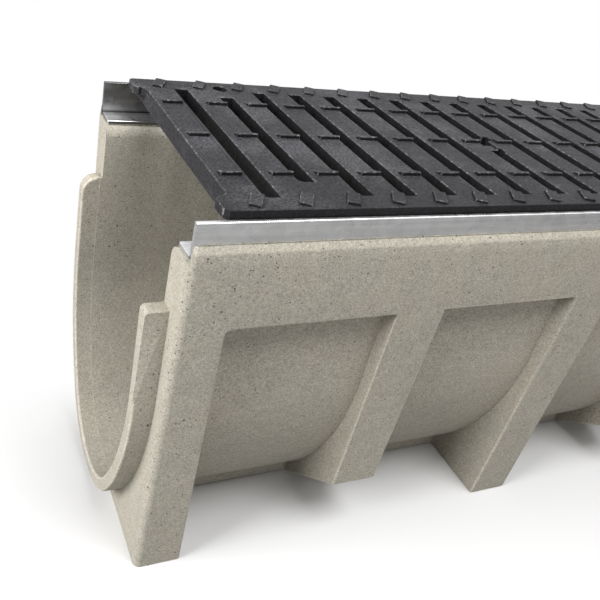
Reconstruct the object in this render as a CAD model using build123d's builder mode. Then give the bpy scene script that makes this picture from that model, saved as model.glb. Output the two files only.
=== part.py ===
from build123d import *
from math import atan2, cos, sin
import os

# Channel drain: a one metre trough of polymer concrete with two galvanised edge rails,
# and two slotted cast gratings lying loose on the rails.
# Own frame: X along the channel with the tongue at the low end, Y across it, Z up from the ground.
# X = 0 is the middle of the overall length, tongue included. All sizes are in millimetres.

# widths, each built on the one before it
CLEAR_WIDTH = 155.0         # between the upright walls of the trough
LEDGE_SETBACK = 5.0         # from the trough's wall to the rail's ledge
LEDGE_WIDTH = 19.5          # from the ledge's inner edge to the outside of the lip
STRIP_WIDTH = 3.0           # concrete outside the lip
SIDE_DRAFT = 9.5            # how far each outer side leans in towards the ground

# body
BODY_LENGTH = 1000.0
TONGUE_LENGTH = 14.0
BODY_TOP = 265.0            # top of the concrete strip outside the lip
SHOULDER_DROP = 14.0        # height of the rounding at the top of the outer side
SHOULDER_LAND = 0.6         # flat left on top of the strip
BAND_BOTTOM = 209.5         # lower edge of the flush band above the pockets
END_CORNER_RADIUS = 5.0

# trough, a cross section of three arcs
SPRING_HEIGHT = 149.0       # where the upright walls begin to curve in
BORE_BOTTOM = 17.5
BOTTOM_RADIUS = 53.5
TROUGH_WALL = 12.5
BORE_EDGE_RADIUS = 8.0

# keel and ribs
KEEL_HALF_WIDTH = 35.0
KEEL_HEIGHT = 16.0
END_RIB = 28.4              # measured at the band
END_RIB_FLARE = 4.2         # how much wider it is on the ground
RIB_WIDTH = 36.5
SECOND_RIB = 163.0          # from the end face to the middle of the second rib
RIB_SPACING = 152.0
SPACED_RIBS = 3             # ribs at that spacing
CLOSING_RIBS = 2            # ribs spread over what is left
SHORT_RIB_BOTTOM = 49.5     # height of a short rib's outer lower edge
POCKET_CORNER_RADIUS = 5.0

# tongue and socket
TONGUE_TOP = 214.0
TONGUE_WALL = 10.5
TONGUE_RELIEF = 0.6         # how much wider the tongue's bore is than the trough's
RELIEF_LENGTH = 12.5
NEAR_CORNER_RADIUS = 3.0
FAR_CORNER_RADIUS = 11.5
SOCKET_CLEARANCE = 1.0

# edge rails
RAIL_THICKNESS = 3.0
RAIL_SETBACK = 1.5          # from the end faces of the body
LEDGE_TOP = 256.0
LIP_TOP = 277.5
LIP_EDGE_RADIUS = 0.8

# gratings
GRATING_THICKNESS = 26.0
PLATE_THICKNESS = 13.0
GRATING_SIDE_CLEARANCE = 1.0
GRATING_GAP = 2.0
GRATING_SETBACK = 17.3      # from the end face to the first grating's ears
EAR_LENGTH = 8.0
EAR_WIDTH = 17.5            # the end web is recessed between the ears
EAR_CHAMFER = 3.0
EAR_THICKNESS = 6.0
END_WEB = 20.0
GRATING_EDGE_RADIUS = 0.8
BEARER_SETBACK = 12.0       # from the end web's face to the side bearers
GRATING_RIB_WIDTH = 9.0
GRATING_RIB_LIFT = 1.0      # of the ribs' feet above the ledge

# slots
SLOT_COUNT = 15
SLOT_PITCH = 30.0
SLOT_WIDTH = 10.4
SLOT_CORNER_RADIUS = 4.0    # at the near end, on the side of the tongue
SLOT_NEAR_MARGIN = 14.4     # from the grating's side to the near end of a slot
SLOT_FAR_MARGIN = 17.0      # from the other side to its far end
SHORT_NEAR_MARGIN = 32.8
SHORT_FAR_MARGIN = 30.0
HOLE_MARGIN = 12.8
HOLE_SHIFT = 1.8            # from the short slot's middle
HOLE_RADIUS = 5.6
BRIDGE_LOW = -11.5
BRIDGE_HIGH = -3.8
BRIDGE_DROP = 1.5
POCKET_DEPTH = 10.0
POCKET_WIDTH = 7.1
WIDE_POCKET_LOW = 1.4
WIDE_POCKET_REACH = 4.8     # beyond the slot
NARROW_POCKET_LOW = -18.6
NARROW_POCKET_REACH = 2.6

# raised pattern on top
BAR_ROW = -3.4              # y of the upright edge of the middle row of bars
BAR_ROW_SPACING = 54.3
BAR_HEIGHT = 2.4
BAR_CREST = 1.4
BAR_DEPTH = 8.0
BAR_START = 5.0             # from the slot before it
WEB_BAR_START = 4.2         # from the end web's face
WEB_BAR_END = 2.3           # before the first slot
STUD_WIDTH = 7.8
STUD_LENGTH = 14.5
STUD_TURN = 28.5            # degrees from the Y axis
STUD_MARGIN = 9.8
NEAR_STUD_SHIFT = 3.0       # from the middle of the bar between two slots
FAR_STUD_SHIFT = 1.5
STUD_HEIGHT = 1.8
ROOT = 1.0                  # how deep raised pieces are rooted in what carries them

TOUCH = 0.01                # how near an edge must lie to be picked

# worked out from the sizes above
bore_half = CLEAR_WIDTH / 2
ledge_inner = bore_half + LEDGE_SETBACK
lip_outer = ledge_inner + LEDGE_WIDTH
top_half = lip_outer + STRIP_WIDTH
end_face = (TONGUE_LENGTH - BODY_LENGTH) / 2
far_end = end_face + BODY_LENGTH
seat = LEDGE_TOP - RAIL_THICKNESS
grating_top = LEDGE_TOP + GRATING_THICKNESS
grating_half = lip_outer - RAIL_THICKNESS - GRATING_SIDE_CLEARANCE
ear_inner = grating_half - EAR_WIDTH
grating_length = 2 * (EAR_LENGTH + END_WEB) + (SLOT_COUNT - 1) * SLOT_PITCH + SLOT_WIDTH
short_slot = 1
lock_slot = SLOT_COUNT // 2
bottom_centre = BORE_BOTTOM + BOTTOM_RADIUS
rise = SPRING_HEIGHT - bottom_centre
flank_radius = (bore_half**2 + rise**2 - BOTTOM_RADIUS**2) / (2 * (bore_half - BOTTOM_RADIUS))
flank_turn = atan2(rise, flank_radius - bore_half)


def side(z):
    """Half the body's width at height z, on the drafted outer face."""
    return top_half - SIDE_DRAFT * (1 - z / BODY_TOP)


def flank(offset, part):
    """Point on the flank arc, moved outwards by offset; part runs from 0 at its top to 1 at its foot."""
    turn = flank_turn * part
    reach = flank_radius + offset
    return (bore_half - flank_radius + reach * cos(turn), SPRING_HEIGHT - reach * sin(turn))


def mirrored(point):
    return (-point[0], point[1])


def trough_section(offset, top):
    """The three-arc cross section, moved outwards by offset and closed at height top."""
    right = bore_half + offset
    foot = flank(offset, 1)
    middle = flank(offset, 0.5)
    bottom = (0, BORE_BOTTOM - offset)
    with BuildSketch() as drawn:
        with BuildLine():
            Line((-right, top), (right, top))
            Line((right, top), (right, SPRING_HEIGHT))
            ThreePointArc((right, SPRING_HEIGHT), middle, foot)
            ThreePointArc(foot, bottom, mirrored(foot))
            ThreePointArc(mirrored(foot), mirrored(middle), (-right, SPRING_HEIGHT))
            Line((-right, SPRING_HEIGHT), (-right, top))
        make_face()
    return drawn.sketch


def outer_section(corner, inner_corner):
    """The drafted outer section down to the given corner and on to the inner corner."""
    shoulder = (side(BODY_TOP - SHOULDER_DROP), BODY_TOP - SHOULDER_DROP)
    land = (lip_outer + SHOULDER_LAND, BODY_TOP)
    bulge = ((shoulder[0] * 2 + land[0]) / 3, BODY_TOP - SHOULDER_DROP / 2)
    strip = (lip_outer, BODY_TOP)
    strip_foot = (lip_outer, seat)
    with BuildSketch() as drawn:
        with BuildLine():
            Polyline(mirrored(strip_foot), strip_foot, strip, land)
            ThreePointArc(land, bulge, shoulder)
            Polyline(shoulder, corner, inner_corner, mirrored(inner_corner), mirrored(corner), mirrored(shoulder))
            ThreePointArc(mirrored(shoulder), mirrored(bulge), mirrored(land))
            Polyline(mirrored(land), mirrored(strip), mirrored(strip_foot))
        make_face()
    return drawn.sketch


def across(x):
    """Plane across the channel at x, with Y and Z as its own directions."""
    return Plane.YZ.offset(x)


# middles, widths and feet of the ribs: even ones stand on the ground, odd ones are cut short
spaced_ribs = [SECOND_RIB + RIB_SPACING * n for n in range(SPACED_RIBS)]
last_rib = BODY_LENGTH - END_RIB / 2
closing_step = (last_rib - spaced_ribs[-1]) / (CLOSING_RIBS + 1)
closing_ribs = [spaced_ribs[-1] + closing_step * (n + 1) for n in range(CLOSING_RIBS)]
middles = [END_RIB / 2] + spaced_ribs + closing_ribs + [last_rib]
widths = [END_RIB] + [RIB_WIDTH] * (SPACED_RIBS + CLOSING_RIBS) + [END_RIB]

shell_section = trough_section(TROUGH_WALL, seat)
band_section = outer_section((side(BAND_BOTTOM), BAND_BOTTOM), (bore_half, BAND_BOTTOM))
full_rib_section = outer_section((side(0), 0), (KEEL_HALF_WIDTH, 0))
short_rib_section = outer_section((side(SHORT_RIB_BOTTOM), SHORT_RIB_BOTTOM), (KEEL_HALF_WIDTH, 0))
tongue_section = trough_section(TONGUE_WALL, TONGUE_TOP)
relief_section = trough_section(TONGUE_RELIEF, BODY_TOP)
bore_section = trough_section(0, BODY_TOP)
socket_section = trough_section(TONGUE_WALL + SOCKET_CLEARANCE, TONGUE_TOP + SOCKET_CLEARANCE)


def flared_rib(face, hand):
    """End rib that widens towards the ground; face is its end face and hand the way it runs from there."""
    foot = END_RIB + END_RIB_FLARE
    with BuildPart() as made:
        with BuildSketch(across(face)):
            add(full_rib_section)
        extrude(amount=hand * foot)
        with BuildSketch(Plane.XZ):
            with BuildLine():
                Polyline(
                    (face, 0),
                    (face + hand * foot, 0),
                    (face + hand * END_RIB, BAND_BOTTOM),
                    (face + hand * END_RIB, BODY_TOP),
                    (face, BODY_TOP),
                    close=True,
                )
            make_face()
        extrude(amount=top_half, both=True, mode=Mode.INTERSECT)
    return made.part


end_ribs = [flared_rib(end_face, 1), flared_rib(far_end, -1)]

with BuildPart() as body:
    with BuildSketch(across(end_face)):
        add(shell_section)
        Rectangle(2 * KEEL_HALF_WIDTH, KEEL_HEIGHT, align=(Align.CENTER, Align.MIN))
    extrude(amount=BODY_LENGTH)
    with BuildSketch(across(end_face)):
        add(band_section)
    extrude(amount=BODY_LENGTH)
    for number, (middle, width) in enumerate(zip(middles, widths)):
        with BuildSketch(across(end_face + middle - width / 2)):
            add(full_rib_section if number % 2 == 0 else short_rib_section)
        extrude(amount=width)
    add(end_ribs)
    end_corners = [
        edge
        for edge in body.edges().filter_by(GeomType.LINE)
        if min(abs(edge.center().X - end_face), abs(edge.center().X - far_end)) < TOUCH
        and abs(edge.center().Y) > lip_outer - SIDE_DRAFT
        and edge.bounding_box().size.Z > BODY_TOP / 2
    ]
    fillet(end_corners, radius=END_CORNER_RADIUS)
    pocket_corners = [
        edge
        for edge in body.edges().filter_by(Axis.Y)
        if abs(edge.center().X - end_face - END_RIB) < TOUCH and abs(edge.center().Z - BAND_BOTTOM) < TOUCH
    ]
    fillet(pocket_corners, radius=POCKET_CORNER_RADIUS)
    with BuildSketch(across(end_face - TONGUE_LENGTH)):
        add(tongue_section)
    extrude(amount=TONGUE_LENGTH + ROOT)
    with BuildSketch(across(end_face - TONGUE_LENGTH)):
        add(relief_section)
    extrude(amount=RELIEF_LENGTH, mode=Mode.SUBTRACT)
    with BuildSketch(across(end_face - TONGUE_LENGTH)):
        add(bore_section)
    extrude(amount=TONGUE_LENGTH + BODY_LENGTH, mode=Mode.SUBTRACT)
    tongue_corners = [
        edge
        for edge in body.edges().filter_by(Axis.Y)
        if abs(edge.center().X - end_face + TONGUE_LENGTH) < TOUCH and abs(edge.center().Z - TONGUE_TOP) < TOUCH
    ]
    near_corners = [edge for edge in tongue_corners if edge.center().Y < 0]
    far_corners = [edge for edge in tongue_corners if edge.center().Y > 0]
    fillet(near_corners, radius=NEAR_CORNER_RADIUS)
    fillet(far_corners, radius=FAR_CORNER_RADIUS)
    with BuildSketch(across(far_end - TONGUE_LENGTH - SOCKET_CLEARANCE)):
        add(socket_section)
    extrude(amount=TONGUE_LENGTH + SOCKET_CLEARANCE, mode=Mode.SUBTRACT)
    bore_edges = [
        edge
        for edge in body.edges().filter_by(Axis.X)
        if abs(edge.center().Z - seat) < TOUCH and abs(abs(edge.center().Y) - bore_half) < TOUCH
    ]
    fillet(bore_edges, radius=BORE_EDGE_RADIUS)


def rail(hand):
    """Edge rail: a ledge under the grating's edge and an upright lip outside it; hand is 1 or -1."""
    with BuildPart() as made:
        with BuildSketch(across(end_face + RAIL_SETBACK)):
            with BuildLine():
                Polyline(
                    (hand * ledge_inner, seat),
                    (hand * lip_outer, seat),
                    (hand * lip_outer, LIP_TOP),
                    (hand * (lip_outer - RAIL_THICKNESS), LIP_TOP),
                    (hand * (lip_outer - RAIL_THICKNESS), LEDGE_TOP),
                    (hand * ledge_inner, LEDGE_TOP),
                    close=True,
                )
            make_face()
        extrude(amount=BODY_LENGTH - 2 * RAIL_SETBACK)
        lip_edges = [edge for edge in made.edges().filter_by(Axis.X) if abs(edge.center().Z - LIP_TOP) < TOUCH]
        fillet(lip_edges, radius=LIP_EDGE_RADIUS)
    return made.part


def bar_section(row):
    """Outline of one raised bar: upright on its near side, sloping down to the plate on its far side."""
    with BuildSketch() as drawn:
        with BuildLine():
            Polyline(
                (row, grating_top - ROOT),
                (row, grating_top + BAR_HEIGHT),
                (row + BAR_CREST, grating_top + BAR_HEIGHT),
                (row + BAR_DEPTH, grating_top),
                (row + BAR_DEPTH, grating_top - ROOT),
                close=True,
            )
        make_face()
    return drawn.sketch


bar_sections = [bar_section(BAR_ROW + BAR_ROW_SPACING * n) for n in (-1, 0, 1)]


def grating(start):
    """Slotted grating whose first ears begin at x = start."""
    web_face = start + EAR_LENGTH
    first_slot = web_face + END_WEB + SLOT_WIDTH / 2
    middle = start + grating_length / 2
    slots = [first_slot + SLOT_PITCH * n for n in range(SLOT_COUNT)]
    bars = [x + SLOT_PITCH / 2 for x in slots[:-1]]
    with BuildPart() as made:
        with BuildSketch(Plane.XY.offset(grating_top - PLATE_THICKNESS)) as outline:
            with Locations((middle, 0)):
                Rectangle(grating_length, 2 * grating_half)
            with Locations((start, 0), (start + grating_length, 0)):
                Rectangle(2 * EAR_LENGTH, 2 * ear_inner, mode=Mode.SUBTRACT)
            chamfer(outline.vertices(), length=EAR_CHAMFER)
        extrude(amount=PLATE_THICKNESS)
        with BuildSketch(Plane.XY.offset(grating_top - PLATE_THICKNESS)):
            with Locations((start, 0), (start + grating_length, 0)):
                Rectangle(2 * EAR_LENGTH, 2 * grating_half)
        extrude(amount=PLATE_THICKNESS - EAR_THICKNESS, mode=Mode.SUBTRACT)
        top_sides = [
            edge
            for edge in made.edges().filter_by(Axis.X)
            if abs(edge.center().Z - grating_top) < TOUCH and edge.length > grating_length / 2
        ]
        fillet(top_sides, radius=GRATING_EDGE_RADIUS)
        with BuildSketch(Plane.XY.offset(grating_top)) as cut:
            for number, x in enumerate(slots):
                low = (SHORT_NEAR_MARGIN if number == short_slot else SLOT_NEAR_MARGIN) - grating_half
                high = grating_half - (SHORT_FAR_MARGIN if number == short_slot else SLOT_FAR_MARGIN)
                with Locations((x, low)):
                    Rectangle(SLOT_WIDTH, high - low, align=(Align.CENTER, Align.MIN))
            turned = [
                corner
                for corner in cut.vertices()
                if corner.Y < 0 and min(abs(corner.X - x + SLOT_WIDTH / 2) for x in slots) < TOUCH
            ]
            fillet(turned, radius=SLOT_CORNER_RADIUS)
            with Locations((slots[short_slot] + HOLE_SHIFT, grating_half - HOLE_MARGIN)):
                Circle(HOLE_RADIUS)
        extrude(amount=-PLATE_THICKNESS, mode=Mode.SUBTRACT)
        with BuildSketch(Plane.XY.offset(grating_top)):
            with Locations((slots[lock_slot], WIDE_POCKET_LOW)):
                Rectangle(SLOT_WIDTH / 2 + WIDE_POCKET_REACH, POCKET_WIDTH, align=(Align.MIN, Align.MIN))
            with Locations((slots[lock_slot], NARROW_POCKET_LOW)):
                Rectangle(SLOT_WIDTH / 2 + NARROW_POCKET_REACH, POCKET_WIDTH, align=(Align.MIN, Align.MIN))
        extrude(amount=-POCKET_DEPTH, mode=Mode.SUBTRACT)
        with BuildSketch(Plane.XY.offset(grating_top - PLATE_THICKNESS)):
            with Locations((slots[lock_slot], (BRIDGE_LOW + BRIDGE_HIGH) / 2)):
                Rectangle(SLOT_WIDTH + 2 * ROOT, BRIDGE_HIGH - BRIDGE_LOW)
        extrude(amount=PLATE_THICKNESS - BRIDGE_DROP)
        with BuildSketch(Plane.XY.offset(LEDGE_TOP)):
            for hand in (-1, 1):
                with Locations((middle, hand * (grating_half - EAR_WIDTH / 2))):
                    Rectangle(grating_length - 2 * (EAR_LENGTH + BEARER_SETBACK), EAR_WIDTH)
        extrude(amount=GRATING_THICKNESS - PLATE_THICKNESS)
        with BuildSketch(Plane.XY.offset(LEDGE_TOP + GRATING_RIB_LIFT)):
            for x in bars:
                with Locations((x, 0)):
                    Rectangle(GRATING_RIB_WIDTH, 2 * (ear_inner + ROOT))
        extrude(amount=GRATING_THICKNESS - PLATE_THICKNESS - GRATING_RIB_LIFT)
        for x in slots[:-1]:
            with BuildSketch(across(x + SLOT_WIDTH / 2 + BAR_START)):
                for section in bar_sections:
                    add(section)
            extrude(amount=SLOT_PITCH - SLOT_WIDTH - BAR_START)
        for x in (web_face + WEB_BAR_START, slots[-1] + SLOT_WIDTH / 2 + WEB_BAR_END):
            with BuildSketch(across(x)):
                for section in bar_sections:
                    add(section)
            extrude(amount=END_WEB - WEB_BAR_START - WEB_BAR_END)
        stud_row = [slots[0] - SLOT_PITCH / 2] + bars
        with BuildSketch(Plane.XY.offset(grating_top - ROOT)):
            for x in stud_row:
                with Locations((x + FAR_STUD_SHIFT, grating_half - STUD_MARGIN)):
                    Rectangle(STUD_WIDTH, STUD_LENGTH, rotation=-STUD_TURN)
                with Locations((x + NEAR_STUD_SHIFT, STUD_MARGIN - grating_half)):
                    Rectangle(STUD_WIDTH, STUD_LENGTH, rotation=-STUD_TURN)
        extrude(amount=ROOT + STUD_HEIGHT)
    return made.part


rail_near = rail(-1)
rail_far = rail(1)
grating_first = grating(end_face + GRATING_SETBACK)
grating_second = grating(end_face + GRATING_SETBACK + grating_length + GRATING_GAP)

body.part.label = "channel_body"
rail_near.label = "edge_rail_near"
rail_far.label = "edge_rail_far"
grating_first.label = "grating_first"
grating_second.label = "grating_second"

os.makedirs("parts", exist_ok=True)
export_step(body.part, "parts/channel_body.step")
export_step(rail_near, "parts/edge_rail_near.step")
export_step(rail_far, "parts/edge_rail_far.step")
export_step(grating_first, "parts/grating_first.step")
export_step(grating_second, "parts/grating_second.step")
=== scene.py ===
from math import cos, radians, sin

import bmesh
import bpy
import numpy as np
from mathutils import Matrix, Vector


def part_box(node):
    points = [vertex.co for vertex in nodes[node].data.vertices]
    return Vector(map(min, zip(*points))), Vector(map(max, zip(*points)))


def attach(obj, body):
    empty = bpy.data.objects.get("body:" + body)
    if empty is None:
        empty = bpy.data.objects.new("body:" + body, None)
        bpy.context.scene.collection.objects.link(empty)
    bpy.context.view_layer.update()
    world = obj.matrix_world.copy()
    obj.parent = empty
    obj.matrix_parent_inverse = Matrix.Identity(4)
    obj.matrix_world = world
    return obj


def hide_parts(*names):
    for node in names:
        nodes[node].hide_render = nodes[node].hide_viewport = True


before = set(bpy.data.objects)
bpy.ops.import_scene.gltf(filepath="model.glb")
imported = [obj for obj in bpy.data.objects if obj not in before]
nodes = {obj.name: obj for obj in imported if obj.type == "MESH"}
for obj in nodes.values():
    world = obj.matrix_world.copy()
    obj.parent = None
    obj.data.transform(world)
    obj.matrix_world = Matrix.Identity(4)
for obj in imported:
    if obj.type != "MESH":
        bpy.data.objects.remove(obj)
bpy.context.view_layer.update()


# The channel body. The real one is a single casting of polymer concrete: sand and stone grit
# bound with resin and pressed in a steel mould, so its faces are fine-grained with small open
# pores, and its arrises come out of the mould slightly rounded, with a painted highlight on them.
BODY_ARRIS = 0.0015             # width of the rounding along an arris
BODY_SHARP = radians(35)        # an edge that turns by less belongs to a curved face
ARRIS_SEGMENTS = 2
ARRIS_PROFILE = 0.5
MERGE_GAP = 2e-6
FLAT_TURN = radians(0.6)
STEP_TURN = radians(60)
FOLD_TURN = radians(150)
STEP_BREADTH = 0.6              # this and the next three are shares of the rounding's width
LEAST_BREADTH = 1.1
LEAST_LENGTH = 0.8
FOLD_REACH = 1.6

CONCRETE_PALE = (0.432, 0.404, 0.342, 1)
CONCRETE_WARM = (0.396, 0.364, 0.302, 1)
CONCRETE_COOL = (0.366, 0.348, 0.292, 1)
CONCRETE_ROUGHNESS = 0.88
CONCRETE_SPECULAR = 0.25
# The roundings along the arrises are paled by this lift: a painted highlight.
ARRIS_HIGHLIGHT_LIFT = 1.20

# A mottle is a grain (cycles per metre, detail, roughness) and a span (low, high, start, end).
PATCHES = ((21, 3, 0.5), (0.36, 0.66, 0.0, 1.0))
CLOUDS = ((90, 4, 0.65), (0.3, 0.7, 0.0, 0.6))
SAND = ((1150, 2, 0.7), (0.30, 0.70, 0.76, 1.20))
CROWDING = ((26, 2, 0.5), (0.35, 0.68, 0.75, 1.15))
GRIT_SIZE = 0.0012
GRIT_SPAN = (0.0, 1.0, 0.90, 1.09)

# A size of pores is the spacing of their cells, the greatest radius as a share of it, and rarity.
WIDE_PORES = (0.0110, 0.072, 3.0)
MIDDLE_PORES = (0.0046, 0.150, 2.6)
FINE_PORES = (0.0021, 0.235, 1.8)
PORE_RIM = (-0.012, 0.030)
PORE_SPAN = (0.0, 1.0, 0.30, 1.0)
PORE_DEPTH = 0.8
SAND_DEPTH = 0.45
CONCRETE_RELIEF = (0.6, 0.0005)

# The shoulder's painted highlight starts at a ragged height, and the seam ends it at the top of the strip.
STRIP_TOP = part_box("channel_body")[1].z
SHOULDER_SPAN = (STRIP_TOP - 0.0058, STRIP_TOP - 0.0036)
SHOULDER_FACING = (0.35, 0.75, 1.0, 0.0)
SHOULDER_HIGHLIGHT = 0.42
RAGGED_GRAIN = (140, 2, 0.5)
RAGGED_HEIGHT = 0.0016
SEAM_SPAN = (STRIP_TOP - 0.0009, STRIP_TOP - 0.0002, 1.0, 0.38)


def unfolded(work, edges, width):
    """The edges that can be rounded without a fold anywhere, found by trying the rounding on a copy.

    Two triangles fold where they turn by more than FOLD_TURN about their common edge. Each try
    leaves out the edges that pass an end of a fold within FOLD_REACH widths: the distance from
    a point to an edge is taken to the point's foot on it, or to the nearer end past the ends.
    """
    chosen = {edge.index: np.array([vert.co for vert in edge.verts]) for edge in edges}
    while chosen:
        trial = work.copy()
        trial.edges.ensure_lookup_table()
        bmesh.ops.bevel(
            trial,
            geom=[trial.edges[index] for index in chosen],
            offset=width,
            segments=ARRIS_SEGMENTS,
            profile=ARRIS_PROFILE,
            affect="EDGES",
            loop_slide=True,
            clamp_overlap=False,
        )
        bmesh.ops.triangulate(trial, faces=trial.faces)
        folded = [edge for edge in trial.edges if edge.calc_face_angle(0) > FOLD_TURN]
        folds = np.array([vert.co for edge in folded for vert in edge.verts]).reshape(-1, 1, 3)
        trial.free()
        first = np.array([ends[0] for ends in chosen.values()])
        along = np.array([ends[1] for ends in chosen.values()]) - first
        foot = np.clip(((folds - first) * along).sum(2) / (along ** 2).sum(1), 0, 1)
        away = np.linalg.norm(folds - first - foot[..., None] * along, axis=2)
        hit = (away < FOLD_REACH * width).any(0)
        if not hit.any():
            break
        chosen = {index: ends for (index, ends), near in zip(chosen.items(), hit) if not near}
    return chosen


def softened(node, name, width, sharp):
    """A copy of a solid's surface whose outer arrises turn through a small rounding of the given width.

    An edge is rounded where it stands out, turns by more than the angle sharp and lies between
    faces that are wide enough to carry the rounding, or are facets of a curved wall; every other
    sharp edge stays crisp. The roundings and the faces of thin steps take the second material.
    """
    mesh = nodes[node].data.copy()
    mesh.materials.clear()
    work = bmesh.new()
    work.from_mesh(mesh)
    bmesh.ops.remove_doubles(work, verts=work.verts, dist=MERGE_GAP)
    bmesh.ops.dissolve_limit(work, angle_limit=FLAT_TURN, verts=work.verts, edges=work.edges)
    weight = work.edges.layers.float.new("bevel_weight_edge")
    broad = {}
    for face in work.faces:
        sides = sorted(face.edges, key=lambda edge: edge.calc_length())
        turns = [edge.calc_face_angle(0) for edge in sides[-2:]]
        breadth = face.calc_area() / sides[-1].calc_length()
        step = min(turns) > STEP_TURN and breadth < STEP_BREADTH * width
        curved = max(turns) < sharp and sides[0].calc_length() > LEAST_LENGTH * width
        broad[face] = breadth > LEAST_BREADTH * width or curved
        face.smooth = True
        face.material_index = int(step)
    fit = []
    for edge in work.edges:
        if edge.calc_face_angle(0) > sharp:
            edge.smooth = False
            wide = all(broad[face] for vert in edge.verts for face in vert.link_faces)
            if edge.is_convex and wide and edge.calc_length() > LEAST_LENGTH * width:
                fit.append(edge)
    work.edges.index_update()
    work.edges.ensure_lookup_table()
    for index in unfolded(work, fit, width):
        work.edges[index][weight] = 1.0
    work.to_mesh(mesh)
    work.free()
    piece = bpy.data.objects.new(name, mesh)
    bpy.context.scene.collection.objects.link(piece)
    rounding = piece.modifiers.new("arris", "BEVEL")
    rounding.width = width
    rounding.segments = ARRIS_SEGMENTS
    rounding.profile = ARRIS_PROFILE
    rounding.limit_method = "WEIGHT"
    rounding.use_clamp_overlap = False
    rounding.harden_normals = True
    rounding.material = 1
    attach(piece, "root")
    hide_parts(node)
    return piece


def shader(name):
    """A new material with its node tree, its principled shader and its object coordinates."""
    made = bpy.data.materials.new(name)
    made.use_nodes = True
    tree = made.node_tree
    surface = tree.nodes["Principled BSDF"]
    place = tree.nodes.new("ShaderNodeTexCoord").outputs["Object"]
    return made, tree, surface, place


def split(tree, vector):
    """The X, Y and Z parts of a vector."""
    made = tree.nodes.new("ShaderNodeSeparateXYZ")
    tree.links.new(vector, made.inputs[0])
    return made.outputs


def facing(tree):
    """The X, Y and Z parts of the surface's normal, bump left out; in a world, of the ray's way back."""
    return split(tree, tree.nodes.new("ShaderNodeNewGeometry").outputs["Normal"])


def noise(tree, place, grain):
    """Fractal noise of a grain: its scale in cycles per metre, its detail and its roughness."""
    made = tree.nodes.new("ShaderNodeTexNoise")
    for socket, given in zip(("Scale", "Detail", "Roughness"), grain):
        made.inputs[socket].default_value = given
    tree.links.new(place, made.inputs["Vector"])
    return made.outputs["Fac"]


def cells(tree, place, spacing):
    """Voronoi cells: the distance to the nearest point, as a share of the spacing, and its random colour."""
    made = tree.nodes.new("ShaderNodeTexVoronoi")
    made.inputs["Scale"].default_value = 1 / spacing
    tree.links.new(place, made.inputs["Vector"])
    parts = tree.nodes.new("ShaderNodeSeparateColor")
    tree.links.new(made.outputs["Color"], parts.inputs["Color"])
    return made.outputs["Distance"], parts.outputs


def ramp(tree, value, low, high, start=0.0, end=1.0):
    """Value carried from the range low..high to start..end, with a smooth step between.

    The value's share of the range, held from 0 to 1, goes over to three times its square less
    twice its cube, and that share of the way from start to end is the result.
    """
    made = tree.nodes.new("ShaderNodeMapRange")
    made.interpolation_type = "SMOOTHSTEP"
    for socket, given in zip(("From Min", "From Max", "To Min", "To Max"), (low, high, start, end)):
        made.inputs[socket].default_value = given
    tree.links.new(value, made.inputs["Value"])
    return made.outputs["Result"]


def mottled(tree, place, grain, span):
    """Fractal noise of a grain, carried over a span as ramp does."""
    return ramp(tree, noise(tree, place, grain), *span)


def fed(tree, socket, given):
    """Gives a socket its value, from another socket or as a plain value."""
    if isinstance(given, bpy.types.NodeSocket):
        tree.links.new(given, socket)
    else:
        socket.default_value = given


def blended(tree, share, first, second, kind="MIX"):
    """Colour first turned by share towards colour second, or towards the two joined by another kind."""
    made = tree.nodes.new("ShaderNodeMix")
    made.data_type = "RGBA"
    made.blend_type = kind
    for socket, given in zip((made.inputs[0], made.inputs[6], made.inputs[7]), (share, first, second)):
        fed(tree, socket, given)
    return made.outputs[2]


def shaded(tree, tint, value):
    """A colour times a value."""
    return blended(tree, 1.0, tint, value, "MULTIPLY")


def combined(tree, kind, first, second):
    """The arithmetic of two values, each a socket or a number."""
    made = tree.nodes.new("ShaderNodeMath")
    made.operation = kind
    for socket, given in zip(made.inputs, (first, second)):
        fed(tree, socket, given)
    return made.outputs[0]


def product(tree, first, *others):
    """The product of two or more values, each a socket or a number."""
    for other in others:
        first = combined(tree, "MULTIPLY", first, other)
    return first


def relief(tree, surface, height, strength, distance):
    """Bump from a height times a distance in metres; strength mixes it with the smooth surface."""
    made = tree.nodes.new("ShaderNodeBump")
    made.inputs["Strength"].default_value = strength
    made.inputs["Distance"].default_value = distance
    tree.links.new(height, made.inputs["Height"])
    tree.links.new(made.outputs["Normal"], surface.inputs["Normal"])


def pitted(tree, place, pores, crowd):
    """1 on sound surface and 0 in a pore: a cell is open out to its own share of the greatest pore radius.

    The share is a power of the cell's random number times the local crowding, so that most
    pores are pinpricks and a few are wide.
    """
    spacing, reach, rarity = pores
    distance, random = cells(tree, place, spacing)
    radius = product(tree, combined(tree, "POWER", random["Red"], rarity), crowd, reach)
    return ramp(tree, combined(tree, "SUBTRACT", distance, radius), *PORE_RIM)


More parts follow.
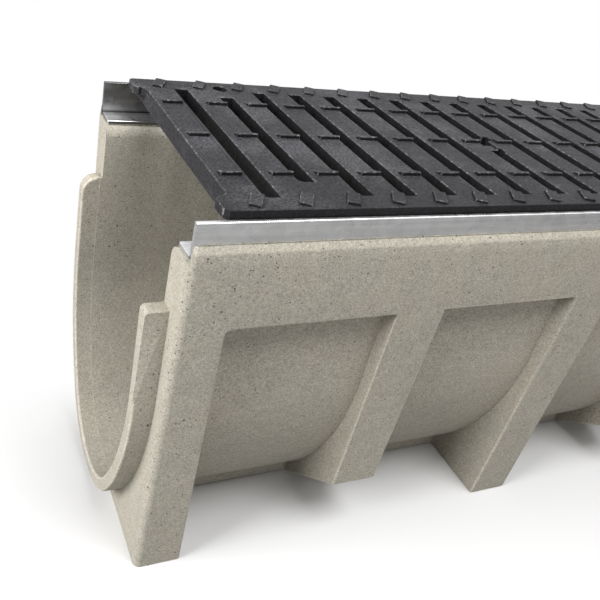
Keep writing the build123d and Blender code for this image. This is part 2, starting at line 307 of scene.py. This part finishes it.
def concrete(name, lift):
    """Resin concrete: cloudy beige, a sandy grain and open pores; lift paints a highlight on its arrises.

    The rounded shoulder beside the rails carries a painted highlight: paler from its foot upwards,
    wherever the surface doesn't face along the channel, and darker again in the last of its height,
    where it meets the steel.
    """
    made, tree, surface, place = shader(name)
    height = split(tree, place)["Z"]
    # Painted highlight on the shoulder beside the rails, darker again at the seam.
    ragged = product(tree, noise(tree, place, RAGGED_GRAIN), RAGGED_HEIGHT)
    shoulder = ramp(tree, combined(tree, "ADD", height, ragged), *SHOULDER_SPAN)
    endwise = combined(tree, "ABSOLUTE", facing(tree)["X"], 0.0)
    shoulder = product(tree, shoulder, ramp(tree, endwise, *SHOULDER_FACING), SHOULDER_HIGHLIGHT)
    shoulder_highlight_and_seam = product(tree, combined(tree, "ADD", shoulder, 1.0), ramp(tree, height, *SEAM_SPAN))

    tint = blended(tree, mottled(tree, place, *PATCHES), CONCRETE_COOL, CONCRETE_WARM)
    tint = blended(tree, mottled(tree, place, *CLOUDS), tint, CONCRETE_PALE)
    sand = product(tree, mottled(tree, place, *SAND), lift)
    tint = shaded(tree, tint, product(tree, sand, shoulder_highlight_and_seam))
    grit = cells(tree, place, GRIT_SIZE)[1]["Green"]
    tint = shaded(tree, tint, ramp(tree, grit, *GRIT_SPAN))

    crowd = mottled(tree, place, *CROWDING)
    sound = [pitted(tree, place, pores, crowd) for pores in (WIDE_PORES, MIDDLE_PORES, FINE_PORES)]
    sound = product(tree, *sound)
    tint = shaded(tree, tint, ramp(tree, sound, *PORE_SPAN))

    tree.links.new(tint, surface.inputs["Base Color"])
    surface.inputs["Roughness"].default_value = CONCRETE_ROUGHNESS
    surface.inputs["Specular IOR Level"].default_value = CONCRETE_SPECULAR
    skin = combined(tree, "ADD", product(tree, sound, PORE_DEPTH), product(tree, sand, SAND_DEPTH))
    relief(tree, surface, skin, *CONCRETE_RELIEF)
    return made


body = softened("channel_body", "concrete_channel", BODY_ARRIS, BODY_SHARP)
body.data.materials.append(concrete("polymer_concrete", 1.0))
# The second material paints a highlight on the roundings and thin steps.
body.data.materials.append(concrete("highlit_arris_concrete", ARRIS_HIGHLIGHT_LIFT))


# The two edge rails. Each is a steel angle cast into the top of the body: its ledge carries the
# gratings and its upright lip guards the edge of the concrete. They are hot-dip galvanised, so
# the zinc shows faint flakes and rolling lines. Over it lies painted light: level faces painted
# bright as reflected sky, the near lip painted lit and the far lip painted in shade, painted
# highlights on the near crest and the roundings, and painted shade on the far crest.
RAIL_ARRIS = 0.0006
RAIL_SHARP = radians(40)
LEDGE_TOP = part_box("grating_first")[0].z        # the gratings' lowest faces lie on the ledges
LIP_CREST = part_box("edge_rail_near")[1].z
# Painted light: level faces painted bright as reflected sky, the near lip painted lit, the far lip painted
# in shade.
ZINC_LEVEL_LIT = (0.86, 0.86, 0.87, 1)
ZINC_NEAR_LIT = (0.70, 0.698, 0.695, 1)
ZINC_FAR_SHADED = (0.31, 0.31, 0.312, 1)
# A painted highlight for the near crest and the roundings, and painted shade for the far crest.
ZINC_HIGHLIGHT = (0.92, 0.92, 0.93, 1)
ZINC_CREST_SHADE = (0.10, 0.10, 0.10, 1)
# Painted shade in the corner above the ledge.
ZINC_CORNER_SHADE = (0.05, 0.05, 0.05, 1)
ZINC_METALLIC = 0.95
LEVEL_FACING = (0.3, 0.8)
CORNER_START = (LEDGE_TOP - 0.0004, LEDGE_TOP - 0.0001)
CORNER_FADE = (LEDGE_TOP + 0.0002, LEDGE_TOP + 0.0022, 1.0, 0.0)
CREST_SPAN = (LIP_CREST - 0.0012, LIP_CREST - 0.0005)
FLAKE_SIZE = 0.006
FLAKE_SPAN = (0.0, 1.0, 0.95, 1.04)
LINE_STRETCH = (0.04, 1.0, 1.0)
LINES = ((330, 3, 0.6), (0.3, 0.7, 0.90, 1.06))
ZINC_GLOSS = ((160, 3, 0.5), (0.3, 0.7, 0.26, 0.38))
ZINC_WAVES = (400, 2, 0.5)
ZINC_RELIEF = (0.05, 0.0001)


def galvanised(name, upright, level, crest):
    """Zinc coat in flakes and long lines, with a painted-light colour each for uprights, level faces and
    crest.

    The lip is darker in the first of its height above the ledge: painted shade in the corner.
    """
    made, tree, surface, place = shader(name)
    height = split(tree, place)["Z"]
    # Painted shade in the corner just above the ledge.
    corner = product(tree, ramp(tree, height, *CORNER_START), ramp(tree, height, *CORNER_FADE))
    side = blended(tree, corner, upright, ZINC_CORNER_SHADE)
    # Level faces take a painted reflection of the bright sky.
    tint = blended(tree, ramp(tree, facing(tree)["Z"], *LEVEL_FACING), side, level)
    # The crest is painted: a highlight on the near rail, shade on the far one.
    tint = blended(tree, ramp(tree, height, *CREST_SPAN), tint, crest)
    flake = cells(tree, place, FLAKE_SIZE)[1]["Red"]
    stretched = tree.nodes.new("ShaderNodeMapping")
    stretched.inputs["Scale"].default_value = LINE_STRETCH
    tree.links.new(place, stretched.inputs["Vector"])
    lines = mottled(tree, stretched.outputs["Vector"], *LINES)
    tint = shaded(tree, tint, product(tree, ramp(tree, flake, *FLAKE_SPAN), lines))
    tree.links.new(tint, surface.inputs["Base Color"])
    surface.inputs["Metallic"].default_value = ZINC_METALLIC
    tree.links.new(mottled(tree, place, *ZINC_GLOSS), surface.inputs["Roughness"])
    relief(tree, surface, noise(tree, place, ZINC_WAVES), *ZINC_RELIEF)
    return made


# Near lip painted lit, far lip painted in shade; the second material paints a highlight on the roundings.
for node, name, upright, crest in (
    ("edge_rail_near", "zinc_rail_near", ZINC_NEAR_LIT, ZINC_HIGHLIGHT),
    ("edge_rail_far", "zinc_rail_far", ZINC_FAR_SHADED, ZINC_CREST_SHADE),
):
    rail = softened(node, name, RAIL_ARRIS, RAIL_SHARP)
    rail.data.materials.append(galvanised("galvanised_" + node, upright, ZINC_LEVEL_LIT, crest))
    rail.data.materials.append(galvanised("highlit_arris_" + node, ZINC_HIGHLIGHT, ZINC_HIGHLIGHT, crest))


# The two gratings. Each is a cast iron slab with fifteen slots, poured in a sand mould and
# dipped in a thin black coating: its skin is finely rough, a little dust dulls its top, and it
# lies loose on the ledges. The paler colour is partly that dust and partly painted light on the
# top and the open end, and the arrises carry flecks of painted highlight.
GRATING_ARRIS = 0.0007
GRATING_SHARP = radians(30)
EAR_LENGTH = 0.008
EAR_TIP, NEAR_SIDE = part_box("grating_first")[0].xy
WEB_FACE = EAR_TIP + EAR_LENGTH         # the upright end face between the ears
IRON_BLACK = (0.0045, 0.0045, 0.0050, 1)
IRON_GREY = (0.0120, 0.0120, 0.0135, 1)
# Paler colour on the top and the open end: dust and painted light.
IRON_DUST_AND_LIGHT = (0.084, 0.0815, 0.089, 1)
# Flecks of painted highlight on the arrises.
IRON_HIGHLIGHT_FLECK = (0.300, 0.300, 0.310, 1)
IRON_SPECULAR = 0.18
MOTTLE = ((600, 4, 0.7), (0.30, 0.72, 0.0, 1.0))
DUST_AND_LIGHT_LEVEL = (0.35, 0.95)
DUST_AND_LIGHT_OUTWARD = (-0.9, -0.5, 0.8, 0.0)
DUST_AND_LIGHT_ENDING = (WEB_FACE + 0.001, WEB_FACE + 0.003, 1.0, 0.0)
DUST_AND_LIGHT_INWARD = (NEAR_SIDE + 0.008, NEAR_SIDE + 0.068, 0.62, 1.0)
DRIFT = ((18, 4, 0.6), (0.44, 0.66, 0.45, 1.15))
SPECKLE = ((620, 4, 0.8), (0.38, 0.62, 0.05, 1.30))
HIGHLIGHT_FLECKS = ((330, 3, 0.7), (0.50, 0.66, 0.12, 1.0))
ARRIS_HIGHLIGHT_SHARE = 0.5
IRON_GLOSS = ((310, 4, 0.5), (0.3, 0.7, 0.46, 0.62))
SKIN_GRAIN = (800, 3, 0.7)
SKIN_WAVES = (150, 2, 0.5)
WAVE_HEIGHT = 1.5
IRON_RELIEF = (0.7, 0.0007)


def cast_iron(name, arris_highlight):
    """Coated iron: black with a grey mottle, and paler in clouds, partly dust and partly painted light.

    The paler share is the greater of how level the face is and how open the end face is, times a
    broad cloud, a fine speckle and how far the place is from the near side. Where the second
    argument is above 0 the arrises show flecks of painted highlight.
    """
    made, tree, surface, place = shader(name)
    spot = split(tree, place)
    normal = facing(tree)
    tint = blended(tree, mottled(tree, place, *MOTTLE), IRON_BLACK, IRON_GREY)
    # Dust and painted light: paler on level faces and on the open end face.
    ending = product(tree, ramp(tree, normal["X"], *DUST_AND_LIGHT_OUTWARD), ramp(tree, spot["X"], *DUST_AND_LIGHT_ENDING))
    lit_and_dusty = combined(tree, "MAXIMUM", ramp(tree, normal["Z"], *DUST_AND_LIGHT_LEVEL), ending)
    inward = ramp(tree, spot["Y"], *DUST_AND_LIGHT_INWARD)
    drift = mottled(tree, place, *DRIFT)
    speckle = mottled(tree, place, *SPECKLE)
    tint = blended(tree, product(tree, lit_and_dusty, drift, inward, speckle), tint, IRON_DUST_AND_LIGHT)
    # Flecks of painted highlight on the arrises.
    if arris_highlight:
        tint = blended(tree, product(tree, mottled(tree, place, *HIGHLIGHT_FLECKS), arris_highlight), tint, IRON_HIGHLIGHT_FLECK)
    tree.links.new(tint, surface.inputs["Base Color"])
    surface.inputs["Specular IOR Level"].default_value = IRON_SPECULAR
    tree.links.new(mottled(tree, place, *IRON_GLOSS), surface.inputs["Roughness"])
    waves = product(tree, noise(tree, place, SKIN_WAVES), WAVE_HEIGHT)
    skin = combined(tree, "ADD", noise(tree, place, SKIN_GRAIN), waves)
    relief(tree, surface, skin, *IRON_RELIEF)
    return made


# The second material paints highlights on the roundings.
iron = cast_iron("cast_iron", 0.0)
highlit_arris_iron = cast_iron("highlit_arris_iron", ARRIS_HIGHLIGHT_SHARE)
for node, name in (("grating_first", "iron_grating_first"), ("grating_second", "iron_grating_second")):
    cast = softened(node, name, GRATING_ARRIS, GRATING_SHARP)
    cast.data.materials.append(iron)
    cast.data.materials.append(highlit_arris_iron)


# The floor: a plain pale sheet that keeps the channel's soft shadow. The camera sees it paler
# than the light that it throws back on the object, and plain white away from the channel.
FLOOR_HALF = 30.0
FLOOR_SEEN = 0.68
FLOOR_BACK = 0.32
SHADOW_REACH = (0.70, 1.00)
SHADOW_BACK = (0.03, 0.11)

corners = np.array([(-1, -1, 0), (1, -1, 0), (1, 1, 0), (-1, 1, 0)]) * FLOOR_HALF
floor_mesh = bpy.data.meshes.new("floor")
floor_mesh.from_pydata(corners.tolist(), [], [(0, 1, 2, 3)])
floor = bpy.data.objects.new("floor", floor_mesh)
bpy.context.scene.collection.objects.link(floor)
floor_paint = bpy.data.materials.new("floor_paint")
floor_paint.use_nodes = True
tree = floor_paint.node_tree
tree.nodes.clear()
seen = tree.nodes.new("ShaderNodeLightPath").outputs["Is Camera Ray"]
matte = tree.nodes.new("ShaderNodeBsdfDiffuse")
tree.links.new(ramp(tree, seen, 0.0, 1.0, FLOOR_BACK, FLOOR_SEEN), matte.inputs["Color"])
spread = tree.nodes.new("ShaderNodeTexCoord").outputs["Object"]
reach = tree.nodes.new("ShaderNodeVectorMath")
reach.operation = "LENGTH"
tree.links.new(spread, reach.inputs[0])
around = ramp(tree, reach.outputs["Value"], *SHADOW_REACH)
beyond = ramp(tree, split(tree, spread)["Y"], *SHADOW_BACK)
away = product(tree, combined(tree, "MAXIMUM", around, beyond), seen)
blank = tree.nodes.new("ShaderNodeEmission")
joined = tree.nodes.new("ShaderNodeMixShader")
for socket, given in zip(joined.inputs, (away, matte.outputs[0], blank.outputs[0])):
    tree.links.new(given, socket)
out = tree.nodes.new("ShaderNodeOutputMaterial")
tree.links.new(joined.outputs[0], out.inputs["Surface"])
floor_mesh.materials.append(floor_paint)


# The light: a dim pale room, a soft key lamp beyond the open end, a second one high over the near
# side and a weak one in front of it. The camera sees white around; metal sees white overhead and
# a dim room at its own height.
ROOM_COLOUR = (1.0, 1.0, 1.0, 1)
ROOM_GLOW = 0.19
MIRRORED_ROOM = (-0.55, 0.05, 1.0, 0.35)
LAMPS = (
    # name, place, aim, side of the square and watts
    ("key_lamp", (-2.4, -0.22, 1.35), (-0.4, 0, 0.1), 1.3, 82),
    ("top_lamp", (0.1, -0.8, 2.4), (0, 0, 0.1), 1.2, 50),
    ("front_lamp", (-0.3, -3.0, 0.6), (0, 0, 0.15), 2.2, 16),
)

scene = bpy.context.scene
scene.view_settings.view_transform = "Standard"
room = bpy.data.worlds.new("room")
scene.world = room
room.use_nodes = True
tree = room.node_tree
sky = tree.nodes["Background"]
sky.inputs["Color"].default_value = ROOM_COLOUR
paths = tree.nodes.new("ShaderNodeLightPath").outputs
mirrored = product(tree, ramp(tree, facing(tree)["Z"], *MIRRORED_ROOM), paths["Is Glossy Ray"])
strength = combined(tree, "MAXIMUM", combined(tree, "MAXIMUM", mirrored, paths["Is Camera Ray"]), ROOM_GLOW)
tree.links.new(strength, sky.inputs["Strength"])

for name, place, aim, size, power in LAMPS:
    light = bpy.data.lights.new(name, "AREA")
    light.size = size
    light.energy = power
    lamp = bpy.data.objects.new(name, light)
    scene.collection.objects.link(lamp)
    turn = (Vector(aim) - Vector(place)).to_track_quat("-Z", "Y").to_matrix().to_4x4()
    lamp.matrix_world = Matrix.Translation(place) @ turn


# The camera, placed where the photograph was taken from: above the open end, looking along and
# down over the near side, and turned a little about its own line of sight.
CAMERA_PLACE = Vector((-0.61894, -0.39891, 0.44756))
CAMERA_LOOK = Vector((0.411907, 0.74963, -0.518061)).normalized()
CAMERA_ROLL = radians(12.33)
CAMERA_SENSOR = 36.0
CAMERA_LENS = 44.20
CAMERA_SHIFT = (0.0834, -0.0352)
CAMERA_NEAREST = 0.01

level = CAMERA_LOOK.cross(Vector((0, 0, 1))).normalized()
upright = level.cross(CAMERA_LOOK)
right = level * cos(CAMERA_ROLL) + upright * sin(CAMERA_ROLL)
up = right.cross(CAMERA_LOOK)
turn = Matrix((right, up, -CAMERA_LOOK)).transposed().to_4x4()
view = bpy.data.cameras.new("camera")
view.sensor_width = CAMERA_SENSOR
view.lens = CAMERA_LENS
view.shift_x, view.shift_y = CAMERA_SHIFT
view.clip_start = CAMERA_NEAREST
camera = bpy.data.objects.new("camera", view)
scene.collection.objects.link(camera)
camera.matrix_world = Matrix.Translation(CAMERA_PLACE) @ turn
scene.camera = camera
